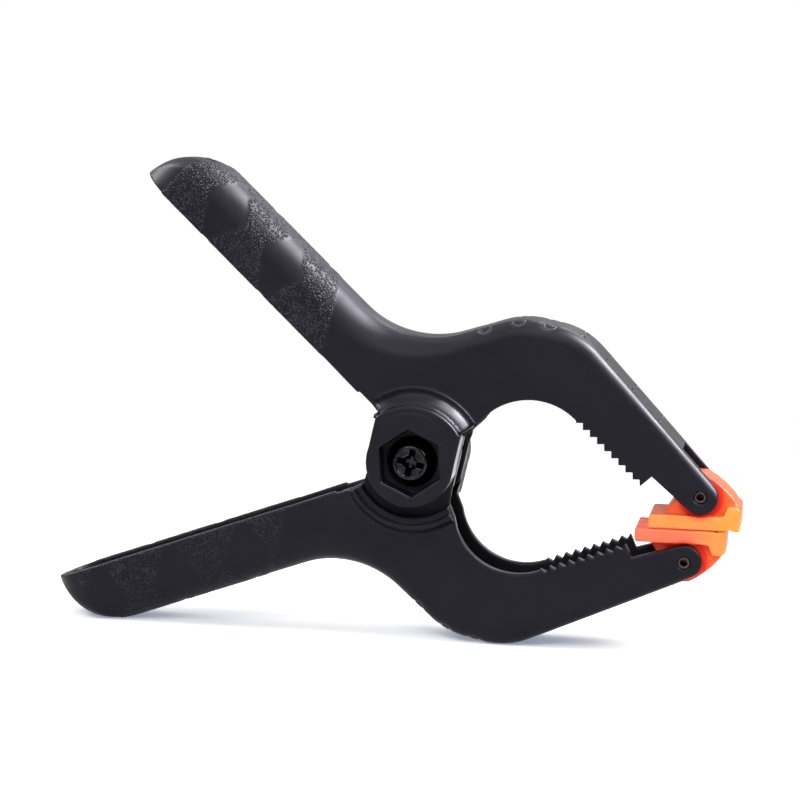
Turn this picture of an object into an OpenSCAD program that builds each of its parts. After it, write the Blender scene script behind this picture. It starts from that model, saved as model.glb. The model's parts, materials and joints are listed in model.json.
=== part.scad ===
// Nylon spring clamp with two identical moulded arms, swivelling jaw pads and a torsion spring.
//
// Clamp frame: the pivot axis is Y, +X runs from the pivot to the jaws, +Z to the upper arm.
// The lower arm is the upper arm turned half a turn about X. The finished model stands on
// its lower arm, as it does on a bench: see stand().

/* [Arms] */
// Width of an arm over its two side walls
arm_w = 12.5; // [11:0.1:15]
// Thickness of the side walls
wall_t = 1.7; // [1.2:0.1:2.2]
// Thickness of the back of the channel
spine_t = 2.0; // [1.4:0.1:2.6]
// Height of the flat crest over the throat, from the pivot axis
crest_z = 24.9; // [22:0.1:29]
// Distance from the pivot axis to the pad pins along the clamp
pin_x = 43.4; // [40:0.1:52]
// Radius of the ear that holds a pad pin
ear_r = 2.65; // [2.3:0.05:3.2]
// Radius of the round throat
throat_r = 9.9; // [8.5:0.1:10.5]
// Number of gripping teeth on each side wall
teeth = 9; // [5:1:11]
// Depth of a gripping tooth
tooth_h = 0.75; // [0.4:0.05:1]

/* [Handles] */
// Distance from the pivot to the tip of a handle
handle_l = 60.4; // [55:0.1:72]
// Angle between a handle and the clamp's long axis, jaws shut
handle_a = 31.5; // [28:0.5:35]
// Depth of a handle from its open rim to its back
handle_d = 9.55; // [8.5:0.05:11]
// Radius on the back edges of a handle
handle_r = 5.0; // [3:0.1:5.5]
// Radius of the hanging hole near the end of a handle
hang_r = 1.2; // [1:0.1:1.8]

/* [Pivot] */
// Distance between the flat outer faces of the two drums
drum_span = 22.8; // [21:0.1:26]
// Radius of the free side of a drum
drum_r = 6.65; // [6.2:0.05:7.1]
// Radius of the drum where it runs into its own arm
root_r = 8.7; // [8.2:0.1:9.2]
// Radius of the ear plate under the other arm's drum
plate_r = 7.2; // [6.8:0.1:7.4]
// Radius of the pivot screw's shank, an M5
shank_r = 2.5; // [2:0.1:3]
// Radial running clearance of the arms on the screw
shank_gap = 0.05; // [0.02:0.01:0.1]
// Width across flats of the pivot nut
nut_af = 8.0; // [7:0.1:8.5]
// Height of the pivot nut
nut_h = 3.2; // [2.5:0.1:3.3]
// Depth of the six-sided pocket in a drum's face
pocket_h = 3.4; // [3.2:0.1:3.9]
// Radius of the screw's pan head
head_r = 3.9; // [3.4:0.1:4.1]
// Height of the screw's pan head
head_h = 2.6; // [2:0.1:3]

/* [Spring] */
// Diameter of the spring wire
wire_d = 1.7; // [1.2:0.1:1.8]
// Mean radius of the coil
coil_r = 4.35; // [4.2:0.05:4.8]
// Whole turns in the coil, besides the part turn between its two legs
coil_turns = 2; // [1:1:2]
// Length of a spring leg from the coil to its tip
leg_l = 15.5; // [11:0.5:17]

/* [Pads] */
// Length of a pad's gripping face from its heel to its nose
pad_l = 13.8; // [12.5:0.1:16]
// Distance from the pad pin to the nose of the pad
pad_nose = 6.2; // [5.8:0.1:7.5]
// Thickness of the pad's plate
pad_t = 2.1; // [1.6:0.1:2.1]
// Distance from the pad pin to the gripping face
pad_face = 5.0; // [4.9:0.05:6]
// Gap between the two faces when the pads lie square
face_gap = 0.3; // [0.25:0.05:0.6]
// Radius of the lug that wraps the pad pin
lug_r = 3.2; // [3:0.1:3.8]
// Angle that the two shut pads lean together on their pins
pad_lean = 11.5; // [8:0.5:11.5]
// Radius of a pad pin
pin_r = 1.0; // [0.8:0.05:1.2]
// Radial running clearance of a pad on its pin
pin_gap = 0.05; // [0.02:0.01:0.1]

/* [Hidden] */

$fn = 64;
eps = 0.01;             // overrun of a cut past the face it opens
nylon = "#2c2b31";
orange = "#ff7a4d";
blackened = "#26262b";
steel = "#b9bcc2";

inner_w = arm_w - 2 * wall_t;            // width of the open channel
pin_z = pad_face + face_gap / 2;         // height of a pad pin over the clamp's long axis
rim_v = 1.1;                             // offset of a handle's rim from the pivot axis
back_v = rim_v + handle_d;               // offset of a handle's back
cap_l = 11.6;                            // length of the handle's rounded end, side view
cap_u = handle_l - cap_l;                // where the rounded end starts

drum_y = drum_span / 2;                  // outer face of a drum
seat_y = arm_w / 2 - 0.7;                // underside of a drum, inside its own wall
seat_gap = 0.15;                         // play between a drum and the plate under it
plate_t = 1.6;                           // thickness of the plate under the drum
plate_y = seat_y - seat_gap;             // outer face of that plate
relief_gap = 0.4;                        // room round the plate in the wall over it
pocket_r = (nut_af + 0.8) / 2 / cos(30); // corner radius of the six-sided pocket
pocket_a = 47;                           // angle of a pocket corner from +X
pocket_y = drum_y - pocket_h;            // floor of the pocket
collar_gap = 0.1;                        // room between the drum's root radius and the collar
collar_in = root_r + collar_gap;         // collar round the other arm's drum, inner radius
fan_a = 45;                              // where the collar ends, seen from the pivot

// --- helpers for outlines, in the XZ plane of the clamp frame ---

function unit(v) = v / norm(v);
function polar(centre, r, a) = centre + r * [cos(a), sin(a)];
function arc(centre, r, a0, a1, n) = [for (i = [0:n]) polar(centre, r, a0 + (a1 - a0) * i / n)];
function heading(v) = atan2(v.y, v.x);
function short_way(a) = (a + 540) % 360 - 180;

// Arc of radius r that rounds corner b of the path a, b, c
function rounded(a, b, c, r, n = 12) =
    let (u = unit(a - b), w = unit(c - b), half = acos(u * w) / 2)
    let (centre = b + unit(u + w) * r / sin(half))
    let (from = heading(b + u * r / tan(half) - centre))
    let (to = heading(b + w * r / tan(half) - centre))
    arc(centre, r, from, from + short_way(to - from), n);

// Corner b of the path a, b, c moved d to the path's right-hand side
function moved(a, b, c, d) =
    let (s = unit(b - a), t = unit(c - b), m = [s.y, -s.x], n = [t.y, -t.x])
    b + d * (m + n) / (1 + m * n);

// Direction, seen from the circle's centre, of the tangent point of a line from p
function tangent_a(p, centre, r, side) =
    heading(p - centre) + side * acos(r / norm(p - centre));

// Point of the upper handle: u along it from the pivot, v outwards
function hand(u, v) = [-u * cos(handle_a) + v * sin(handle_a), u * sin(handle_a) + v * cos(handle_a)];

// --- side view of an arm ---

pin = [pin_x, pin_z];
waist_u = 12.9;
waist = hand(waist_u, back_v);                       // corner between handle and jaw, before rounding
crest = [[10.7, crest_z], [20.3, crest_z]];          // the two corners of the crest
waist_r = 14.9;
crest_r = [12.3, 12.0];
nose_a = tangent_a(crest[1], pin, ear_r, -1);
nose = polar(pin, ear_r, nose_a);

// Back of the arm from the handle's end to the ear, moved inwards by d
function back_line(d = 0) =
    let (a = hand(cap_u, back_v), z = nose)
    let (p = a + d * [-sin(handle_a), -cos(handle_a)])
    let (q = moved(a, waist, crest[0], d), r = moved(waist, crest[0], crest[1], d))
    let (s = moved(crest[0], crest[1], z, d), t = z - d * [cos(nose_a), sin(nose_a)])
    concat([p], rounded(p, q, r, waist_r + d), rounded(q, r, s, crest_r[0] - d),
           rounded(r, s, t, crest_r[1] - d), [t]);

function handle_cap(d = 0) =
    [for (i = [0:16]) let (a = 90 * i / 16) hand(cap_u + (cap_l - d) * cos(a), rim_v + (handle_d - d) * sin(a))];

throat_c = [17.2, 3.5];
throat_a = [57, 158];
tooth_0 = polar(throat_c, throat_r, throat_a[0]) - [0, 0.3];   // tip next to the throat
tooth_n = [34.2, 4.5];                                         // tip next to the ear
tooth_step = (tooth_0 - tooth_n) / teeth;
tooth_up = tooth_h * unit([tooth_step.y, -tooth_step.x]);
notch = [35.6, 6.4];                                           // back of the cut behind the pad
notch_a = tangent_a(notch, pin, ear_r, 1);

function tooth_row() =
    [for (i = [0:2 * teeth]) tooth_n + tooth_step * i / 2 + (i % 2) * tooth_up];

function arm_outline() = concat(
    handle_cap(), back_line(),
    arc(pin, ear_r, nose_a, nose_a + short_way(notch_a - nose_a), 16), [notch],
    tooth_row(), arc(throat_c, throat_r, throat_a[0], throat_a[1], 24),
    [[drum_r, 5.2], [drum_r, 0], [-drum_r, 0], [-drum_r, 5.4], hand(10.2, rim_v)]);

// Everything under the inner face of the spine
function channel_outline(d) = concat(
    handle_cap(d), back_line(d), [[pin_x + 9, pin_z], [pin_x, -9], [-pin_x, -9], hand(handle_l - d, -9)]);

module side_view(points, width) rotate([90, 0, 0]) linear_extrude(width, center = true) polygon(points);

// Children stand on a plane square to the handle: X across the clamp, Y outwards
module along_handle(from, to)
    rotate([0, handle_a, 0]) translate([-to, 0, 0]) rotate([90, 0, 90]) linear_extrude(to - from) children();

// Cross-section of a handle, rounded at the back
module handle_section(half_w, back, r) {
    translate([-half_w, -4]) square([2 * half_w, back - r + 4]);
    translate([r - half_w, -4]) square([2 * (half_w - r), back + 4]);
    for (s = [-1, 1]) translate([s * (half_w - r), back - r]) circle(r);
}

// Plan of a handle: straight, with a round end
module handle_plan(half_w, end) {
    translate([-end + half_w, -half_w]) square([end - half_w, 2 * half_w]);
    translate([-end + half_w, 0]) circle(half_w);
}

module handle_plan_prism(half_w, end)
    rotate([0, handle_a, 0]) translate([0, 0, -8]) linear_extrude(30) handle_plan(half_w, end);

// From here outwards the handle is straight and its back fully rounded
split_u = waist_u + waist_r * tan((handle_a + heading(crest[0] - waist)) / 2);

// A channel form of the given half width, cut to the handle's rounded section and plan
module arm_form(points, half_w, back, r, end) {
    intersection() {
        side_view(points, 4 * half_w);   // the section sets the width here
        along_handle(split_u, handle_l + 1) handle_section(half_w, back, r);
        handle_plan_prism(half_w, end);
    }
    difference() {
        side_view(points, 2 * half_w);
        along_handle(split_u, handle_l + 1) square([4 * half_w, 80], center = true);
    }
}

// --- pivot features, drawn on the front side of the clamp ---

module front_disc(r, y0, y1) translate([0, y1, 0]) rotate([90, 0, 0]) cylinder(r = r, h = y1 - y0);

module flats(y0, y1) translate([-drum_r, y0, -30]) cube([2 * drum_r, y1 - y0, 60]);

// Sector over the pivot. Children are profiles: X is the radius, Y the height towards the front
module fan_ring() rotate([90, 0, 0]) rotate([0, 0, fan_a]) rotate_extrude(angle = 180 - 2 * fan_a) children();

// Round on the free side, flat at both sides, wider and stepped down where it runs into its arm
module drum() {
    flat_x = drum_r - 0.05;
    shoulder = [root_r + 1.2, arm_w / 2 + 0.6];
    skirt_r = shoulder.x + (shoulder.y - seat_y) * 1.2;   // the slope runs on into the wall
    front_disc(drum_r, -drum_y, -seat_y);
    intersection() {
        rotate([90, 0, 0]) rotate_extrude()
            polygon([[0, seat_y], [0, drum_y], [root_r, drum_y], [root_r + 0.5, drum_y - 0.7],
                     shoulder, [skirt_r, seat_y]]);
        translate([-flat_x, -drum_y - 1, 0]) cube([2 * flat_x, drum_y, 2 * root_r]);
    }
}

// Stepped collar on the other side wall, round the other arm's drum; its bore is cut later
module collar() {
    low_y = arm_w / 2 + 1.2;
    top_y = arm_w / 2 + 2.0;
    blank_r = collar_in - 1;
    step_r = collar_in + 1.1;
    ridge_r = step_r + 0.7;
    foot_r = ridge_r + (top_y - seat_y) * 0.35;           // the slope runs on into the wall
    mirror([0, 1, 0]) fan_ring() polygon([[blank_r, seat_y], [blank_r, low_y], [step_r, low_y],
                                          [step_r, top_y], [ridge_r, top_y], [foot_r, seat_y]]);
}

module hex_pocket(y0, y1) translate([0, y1, 0]) rotate([90, 0, 0]) rotate([0, 0, pocket_a])
    cylinder(r = pocket_r, h = y1 - y0, $fn = 6);

// --- an arm, drawn as the upper one ---

slot_w = 8.6;      // width of the fork slot for the pad's lug
slot_x = 39.0;     // where the slot starts on the spine
rib_us = [22, 40]; // places of the two cross ribs in the handle
rib_t = 0.9;
rib_low_v = 6.2;   // level of the top of the cross ribs
keel_t = 0.9;      // thickness of the lengthwise rib in the jaw
keel_h = 1.3;
boss_x = 24;       // ejector boss on the lengthwise rib
boss_r = 1.6;
hang_t = 58;       // place of the hanging hole on the handle's round end, as an ellipse angle
hang_p = hand(cap_u + cap_l * cos(hang_t), rim_v + handle_d * sin(hang_t));
hang_a = handle_a - atan2(handle_d * cos(hang_t), cap_l * sin(hang_t));

module arm_walls() {
    difference() {
        arm_form(arm_outline(), arm_w / 2, back_v, handle_r, handle_l);
        arm_form(channel_outline(spine_t), inner_w / 2, back_v - spine_t, handle_r - wall_t,
                 handle_l - wall_t);
    }
    intersection() {
        arm_form(channel_outline(spine_t - eps), inner_w / 2 + eps, back_v - spine_t, handle_r - wall_t,
                 handle_l - wall_t);
        union() {
            for (u = rib_us) along_handle(u - rib_t / 2, u + rib_t / 2)
                translate([-inner_w / 2 - eps, rib_low_v]) square([inner_w + 2 * eps, 6]);
            intersection() {
                difference() {
                    side_view(back_line(spine_t - 1), keel_t);
                    side_view(concat(back_line(spine_t + keel_h), [[pin_x, -9], [-40, -9]]), arm_w);
                }
                translate([6, -arm_w, 0]) cube([slot_x - 10, 2 * arm_w, 40]);
            }
            translate([boss_x, 0, crest_z - spine_t - 5.5]) cylinder(r = boss_r, h = 6);
        }
    }
}

module arm() {
    difference() {
        union() {
            difference() {
                union() {
                    arm_walls();
                    collar();
                }
                // room under this arm's drum for the other arm's plate
                front_disc(plate_r + relief_gap, -seat_y, 0);
                // room over this arm's plate for the other arm's drum
                front_disc(collar_in, plate_y, drum_y);
            }
            intersection() {
                front_disc(plate_r, plate_y - plate_t, plate_y);
                flats(plate_y - plate_t, plate_y);
            }
            drum();
        }
        // pivot bore and nut pocket
        front_disc(shank_r + shank_gap, -drum_y - 1, drum_y + 1);
        hex_pocket(-drum_y - eps, -pocket_y);
        // fork slot and pin bores at the jaw
        translate([slot_x, -slot_w / 2, pin_z]) cube([20, slot_w, 20]);
        translate([pin_x, arm_w, pin_z]) rotate([90, 0, 0]) cylinder(r = pin_r, h = 2 * arm_w);
        // hanging hole
        translate([hang_p.x, 0, hang_p.y]) rotate([0, hang_a, 0]) cylinder(r = hang_r, h = 8, center = true);
    }
}

// --- fasteners ---

module screw() {
    head_y = -pocket_y - 0.1;       // underside of the head, just clear of the turning drum
    tip_y = drum_y - 0.05;
    cross_w = 0.9;
    difference() {
        rotate([90, 0, 0]) rotate_extrude() polygon(concat(
            [[0, -tip_y], [shank_r - 0.5, -tip_y], [shank_r, -tip_y + 0.5], [shank_r, -head_y],
             [head_r, -head_y], [head_r, -head_y + 0.6]],
            [for (i = [1:8]) let (a = 90 * i / 8)
                [head_r - 1.2 + 1.2 * cos(a), -head_y + 0.6 + (head_h - 0.6) * sin(a)]],
            [[0, -head_y + head_h]]));
        translate([0, head_y - head_h / 2, 0]) for (a = [0, 90]) rotate([0, a, 0])
            translate([-2.2, -head_h, -cross_w / 2]) cube([4.4, head_h, cross_w]);
    }
}

module nut() rotate([90, 0, 0]) rotate([0, 0, -pocket_a]) difference() {
    translate([0, 0, -pocket_y - nut_h]) cylinder(r = nut_af / 2 / cos(30), h = nut_h, $fn = 6);
    translate([0, 0, -drum_y]) cylinder(r = shank_r, h = drum_y);
}

module pad_pin() {
    pin_l = arm_w - 0.5;
    translate([pin_x, pin_l / 2, pin_z]) rotate([90, 0, 0]) cylinder(r = pin_r, h = pin_l);
}

// --- spring: one wire from leg to leg ---

leg_tilt = 14;                        // how far a leg turns outwards from its handle
leg_a = 180 - handle_a - leg_tilt;    // heading of the upper leg
coil_from = leg_a - 90 - 2 * (leg_a - 90) - 360 * coil_turns;
coil_to = leg_a - 90;
coil_y = inner_w / 2 - 0.7 - wire_d / 2 - 0.2;   // end turns lie just inside the ear plates
coil_rings = 8 * (coil_turns + 1) - 4;
wire_sides = 6;

function coil_point(t) = let (a = coil_from + (coil_to - coil_from) * t)
    [coil_r * cos(a), coil_y * (1 - 2 * t), coil_r * sin(a)];
function leg_points(end, heading_a, y) = [for (k = [1:3]) end + leg_l * k / 3 * [cos(heading_a), 0, sin(heading_a)]];
coil = [for (i = [0:coil_rings]) coil_point(i / coil_rings)];
upper_leg = leg_points(coil[coil_rings], leg_a, -coil_y);
lower_leg = leg_points(coil[0], -leg_a, coil_y);
wire = concat([for (k = [2:-1:0]) lower_leg[k]], coil, upper_leg);

// Least distance between wire surfaces that are more than half a turn apart along the wire
coil_gap = min([for (i = [0:len(wire) - 1]) for (j = [i + 5:1:len(wire) - 1]) norm(wire[i] - wire[j])]) - wire_d;
echo(spring_gap_to_itself_mm = coil_gap);

module wire_tube(path, r, sides) {
    n = len(path);
    across = [0, 1, 0];
    points = [for (i = [0:n - 1])
        let (t = unit(path[min(i + 1, n - 1)] - path[max(i - 1, 0)]))
        let (m = unit(across - (across * t) * t), b = cross(t, m))
        for (k = [0:sides - 1]) let (a = 360 * k / sides) path[i] + r * (m * cos(a) + b * sin(a))];
    skin = [for (i = [0:n - 2]) for (k = [0:sides - 1])
        let (a = i * sides + k, b = i * sides + (k + 1) % sides)
        each [[a, a + sides, b], [b, a + sides, b + sides]]];
    ends = [for (k = [1:sides - 2]) each
        [[0, k, k + 1], [(n - 1) * sides, (n - 1) * sides + k + 1, (n - 1) * sides + k]]];
    polyhedron(points, concat(skin, ends));
}

// --- pads, drawn as the upper one with its pin at the origin ---

heel_x = pad_nose - pad_l;
back_z = pad_t - pad_face;
bead_z = -1.4;             // top of the full-width bead across the nose
lug_w = slot_w - 0.4;

function pad_plate() = concat(
    [[heel_x, -pad_face], [pad_nose, -pad_face]],
    rounded([pad_nose, -pad_face], [pad_nose, bead_z], [heel_x, bead_z], 1, 6),
    [[pad_nose - 1.7, bead_z - 0.3], [pad_nose - 3.0, back_z], [heel_x, back_z]]);

function pad_lug() = concat(
    [[heel_x + 2.4, back_z - 1], [heel_x + 2.4, back_z + 0.3]],
    arc([0, 0], lug_r, 170, 75, 12), [[3.9, 0.9], [4.9, 0], [pad_nose - 0.5, -1.2], [pad_nose, -1.9],
    [pad_nose, back_z - 1]]);

module pad() difference() {
    union() {
        side_view(pad_plate(), arm_w - 0.1);
        side_view(pad_lug(), lug_w);
    }
    for (s = [-1, 1]) translate([0, s * (lug_w / 2 + 5) + 5, 0]) rotate([90, 0, 0]) cylinder(r = ear_r + 0.3, h = 10);
    translate([0, arm_w, 0]) rotate([90, 0, 0]) cylinder(r = pin_r + pin_gap, h = 2 * arm_w);
}

module on_pin() translate([pin_x, 0, pin_z]) children();

// --- how the clamp stands: its handle end and its crest both touch the bench ---

bulge_c = [rounded(crest[0], crest[1], nose, crest_r[1])[0].x, crest_z - crest_r[1]];
function reach_bulge(t) = bulge_c * [sin(t), cos(t)] + crest_r[1];
function reach_cap(t) = let (n = [sin(t), cos(t)], along = hand(1, 0), out = hand(0, 1))
    n * hand(cap_u, rim_v) + norm([cap_l * (n * along), handle_d * (n * out)]);
// How far the crest reaches past the handle's end when the clamp is tilted by t
function crest_lead(t) = reach_bulge(t) - reach_cap(t);
function find_tilt(lo, hi, k) = let (m = (lo + hi) / 2)
    k == 0 ? m : crest_lead(m) > 0 ? find_tilt(lo, m, k - 1) : find_tilt(m, hi, k - 1);
pitch = find_tilt(0, 25, 40);

function tilted_x(p) = p.x * cos(pitch) + p.y * sin(pitch);
tip = hand(handle_l, rim_v);
left_x = tilted_x([tip.x, -tip.y]);
pad_turn = pad_lean - pitch;          // lean of the pads to the bench
right_x = tilted_x(pin) + max([for (p = concat(pad_plate(), pad_lug())) p.x * cos(pad_turn) - p.y * sin(pad_turn)]);
rise = reach_bulge(pitch);

echo(pitch_deg = pitch, shift_x = -(left_x + right_x) / 2, shift_z = rise);

module stand() translate([-(left_x + right_x) / 2, 0, rise]) rotate([0, pitch, 0]) children();
module turned_over() rotate([180, 0, 0]) children();

module upper_arm() color(nylon) stand() arm();
module lower_arm() color(nylon) stand() turned_over() arm();
module torsion_spring() color(steel) stand() wire_tube(wire, wire_d / 2, wire_sides);
module pivot_screw() color(blackened) stand() screw();
module pivot_nut() color(blackened) stand() nut();
module upper_pad() color(orange) stand() on_pin() rotate([0, -pad_lean, 0]) pad();
module lower_pad() color(orange) stand() turned_over() on_pin() rotate([0, pad_lean, 0]) pad();
module upper_pad_pin() color(steel) stand() pad_pin();
module lower_pad_pin() color(steel) stand() turned_over() pad_pin();

upper_arm();
lower_arm();
torsion_spring();
pivot_screw();
pivot_nut();
upper_pad();
lower_pad();
upper_pad_pin();
lower_pad_pin();
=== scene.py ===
"""Nylon spring clamp on a white sweep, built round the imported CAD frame.

Shapes are worked out in the clamp frame, in millimetres: the origin is the pivot, +X runs to the
jaws, +Y along the pivot to the nut, +Z to the upper arm. stand() takes them to the row frame.
Each moulded or turned piece is a distance field, meshed on its zero surface.
"""
import json
import math

import bpy
import numpy as np
from mathutils import Matrix, Vector


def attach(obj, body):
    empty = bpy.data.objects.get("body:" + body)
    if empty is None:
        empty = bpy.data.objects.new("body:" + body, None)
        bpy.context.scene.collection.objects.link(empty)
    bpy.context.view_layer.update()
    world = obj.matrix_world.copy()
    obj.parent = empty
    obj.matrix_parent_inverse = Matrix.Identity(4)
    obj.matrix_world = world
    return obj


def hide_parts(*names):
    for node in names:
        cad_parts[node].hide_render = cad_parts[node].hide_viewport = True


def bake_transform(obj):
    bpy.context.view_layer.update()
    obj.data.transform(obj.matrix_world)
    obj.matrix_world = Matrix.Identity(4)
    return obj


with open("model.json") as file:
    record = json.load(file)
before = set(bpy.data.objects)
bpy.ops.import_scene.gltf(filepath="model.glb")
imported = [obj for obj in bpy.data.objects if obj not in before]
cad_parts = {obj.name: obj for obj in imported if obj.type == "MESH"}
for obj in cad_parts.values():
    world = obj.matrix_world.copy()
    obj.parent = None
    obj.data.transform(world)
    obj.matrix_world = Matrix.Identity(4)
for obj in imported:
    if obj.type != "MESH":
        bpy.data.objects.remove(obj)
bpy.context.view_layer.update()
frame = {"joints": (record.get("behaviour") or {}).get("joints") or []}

# --- clamp frame to row frame, from the joints ---

JOINTS = {j["name"]: j for j in frame["joints"]}
PIVOT = np.array(JOINTS["arm_pivot"]["pos_m"])
UP = np.array(JOINTS["upper_pad_swivel"]["pos_m"]) - np.array(JOINTS["lower_pad_swivel"]["pos_m"])
UP = UP / np.linalg.norm(UP)
ACROSS = np.array([0.0, 1.0, 0.0])
TURN = np.stack([np.cross(ACROSS, UP), ACROSS, UP], axis=1)


def stand(points):
    return np.asarray(points, float) @ TURN.T / 1000 + PIVOT


def turned_over(points):
    return np.asarray(points, float) * [1, -1, -1]


# --- sizes, as in the CAD source ---

HALF_W, WALL_T, SPINE_T = 6.25, 1.7, 2.0
HANDLE_L, HANDLE_A, RIM_V, HANDLE_D, CAP_L = 60.4, 31.5, 1.1, 9.55, 11.6
CAP_U, BACK_V = HANDLE_L - CAP_L, RIM_V + HANDLE_D
PIN_X, PIN_Z, EAR_R, PIN_R = 43.4, 5.15, 2.65, 1.0
DRUM_Y, DRUM_R, ROOT_R, SEAT_Y, PLATE_R, PLATE_Y = 11.37, 6.65, 8.7, 5.55, 7.2, 5.4
POCKET_Y, POCKET_A, POCKET_HALF, BORE_R, HANG_R = 8.0, 47, 4.4, 2.55, 1.2
RIBS_U, RIB_HALF, RIB_TOP_V = (22, 40), 0.45, 6.2          # cross ribs in the handle
KEEL_X0, KEEL_X1, KEEL_DEPTH = 6, 35, 3.3                  # lengthwise rib under the jaw's back
BOSS_X, BOSS_R, BOSS_Z = 24, 1.6, 17.4                     # ejector boss
FORK_X, SLOT_HALF = 39, 4.3                                # the jaw's end, open for the pad's lug
COLLAR_R, COLLAR_IN_R, COLLAR_Y, STEP_Y, COLLAR_FLARE = 10.5, 9.75, 8.2, 7.65, 0.42
SHOULDER_R, SHOULDER_LEAN, SHOULDER_BULGE, SHOULDER_TOP_Y = 10.95, 0.72, 0.45, 9.5
ROOM_R, PLATE_ROOM_R, PLATE_HALF_T = 7.6, 8.8, 0.8         # room for the other arm's drum and plate
RIM_DEEP, RIM_IN, RIM_WIDTH = 0.14, 0.85, 0.22             # groove round the drum's face
NUB_AT, NUB_HALF = (-6.8, -8.2, 5.5), (0.3, 1.6, 0.3)
CA, SA = math.cos(math.radians(HANDLE_A)), math.sin(math.radians(HANDLE_A))


def hand(u, v):
    return (-u * CA + v * SA, u * SA + v * CA)


def polar(c, r, deg):
    return (c[0] + r * math.cos(math.radians(deg)), c[1] + r * math.sin(math.radians(deg)))


def arc(c, r, a0, a1, n):
    return [polar(c, r, a0 + (a1 - a0) * i / n) for i in range(n + 1)]


def heading(a, b):
    return math.degrees(math.atan2(b[1] - a[1], b[0] - a[0]))


def short_way(deg):
    return (deg + 540) % 360 - 180


def rounded(a, b, c, r, n):
    """Arc of radius r, in n steps, that rounds corner b of the path a, b, c."""
    p, q = np.subtract(a, b), np.subtract(c, b)
    p, q = p / np.linalg.norm(p), q / np.linalg.norm(q)
    half = math.acos(float(p @ q)) / 2
    mid = (p + q) / np.linalg.norm(p + q)
    centre = np.add(b, mid * r / math.sin(half))
    start, end = np.add(b, p * r / math.tan(half)), np.add(b, q * r / math.tan(half))
    a0 = heading(centre, start)
    return arc(centre, r, a0, a0 + short_way(heading(centre, end) - a0), n)


def tangent_a(p, c, r, side):
    """Direction from c of the point where a line from p touches the circle of radius r."""
    return heading(c, p) + side * math.degrees(math.acos(r / math.dist(p, c)))


# --- outlines of an arm in the XZ plane ---

PIN = (PIN_X, PIN_Z)
WAIST = hand(12.9, BACK_V)
CREST = [(10.7, 24.9), (20.3, 24.9)]
NOSE_A = tangent_a(CREST[1], PIN, EAR_R, -1)
NOSE = polar(PIN, EAR_R, NOSE_A)
BACK_END = polar(NOSE, 14, NOSE_A - 90)
CAP = [hand(CAP_U + CAP_L * math.cos(math.radians(a)), RIM_V + HANDLE_D * math.sin(math.radians(a)))
       for a in range(0, 91, 5)]                                       # the handle's round end
SPINE = (rounded(CAP[-1], WAIST, CREST[0], 14.9, 20) + rounded(WAIST, *CREST, 12.3, 18)
         + rounded(*CREST, NOSE, 12.0, 18) + [NOSE])
BELOW = [BACK_END, (BACK_END[0], -14), (-30, -14)]
# under the back with the round end, and the same with the handle running on
BACK = [hand(HANDLE_L, -12)] + CAP + SPINE + BELOW
STRAIGHT = [hand(80, -12), hand(80, BACK_V)] + SPINE + BELOW
THROAT_C, THROAT_R = (17.2, 3.5), 9.9
TEETH, TOOTH_H = 9, 0.75
TOOTH_0 = np.subtract(polar(THROAT_C, THROAT_R, 57), (0, 0.3))
TOOTH_N = np.array([34.2, 4.5])
TOOTH_STEP = (TOOTH_0 - TOOTH_N) / TEETH
TOOTH_UP = TOOTH_H * np.array([TOOTH_STEP[1], -TOOTH_STEP[0]]) / np.linalg.norm(TOOTH_STEP)
NOTCH = (35.6, 6.4)
NOTCH_A = tangent_a(NOTCH, PIN, EAR_R, 1)
LOWER = ([hand(80, RIM_V), hand(13.4, RIM_V), hand(13.1, RIM_V + 0.3), hand(10.4, RIM_V + 0.3),
          (-DRUM_R, 5.4), (-DRUM_R, 0), (DRUM_R, 0), (DRUM_R, 5.2)]
         + arc(THROAT_C, THROAT_R, 158, 57, 30)
         + [tuple(TOOTH_N + TOOTH_STEP * i / 2 + (i % 2) * TOOTH_UP)
            for i in range(2 * TEETH, -1, -1)]
         + [NOTCH] + arc(PIN, EAR_R, NOTCH_A, NOTCH_A + short_way(NOSE_A - NOTCH_A), 20)
         + [polar(NOSE, 40, NOSE_A), (0, 90), (-100, 60)])


# --- distance fields: negative inside ---

def outline_sd(x, z, points):
    """Signed distance to a closed outline."""
    least = np.full(np.broadcast(x, z).shape, np.inf)
    inside = np.zeros(least.shape, bool)
    for (ax, az), (bx, bz) in zip(points, points[1:] + points[:1]):
        ex, ez = bx - ax, bz - az
        px, pz = x - ax, z - az
        t = np.clip((px * ex + pz * ez) / (ex * ex + ez * ez), 0, 1)
        least = np.minimum(least, (px - t * ex) ** 2 + (pz - t * ez) ** 2)
        if ez:
            inside ^= ((az > z) != (bz > z)) & (x < ax + pz * ex / ez)
    return np.where(inside, -1, 1) * np.sqrt(least)


def both(a, b, r):
    """Intersection with its edge rounded to radius r."""
    return (np.minimum(np.maximum(a, b), -r)
            + np.hypot(np.maximum(a + r, 0), np.maximum(b + r, 0)))


def either(a, b, r):
    """Union with its inner corner filled to radius r."""
    return -both(-a, -b, r)


def ramp(t, t0, t1):
    """0 at t0 and 1 at t1, smooth between them."""
    s = np.clip((t - t0) / (t1 - t0), 0, 1)
    return s * s * (3 - 2 * s)


def hexagon(x, z, half):
    """Hexagonal prism along the pivot, with half its width across flats."""
    turns = [math.radians(POCKET_A + a) for a in (30, 90, 150)]
    return np.max([np.abs(x * math.cos(t) + z * math.sin(t)) for t in turns], axis=0) - half


HANG_T = math.radians(58)
HANG_P = hand(CAP_U + CAP_L * math.cos(HANG_T), RIM_V + HANDLE_D * math.sin(HANG_T))
HANG_A = math.radians(HANDLE_A) - math.atan2(HANDLE_D * math.cos(HANG_T), CAP_L * math.sin(HANG_T))
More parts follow.
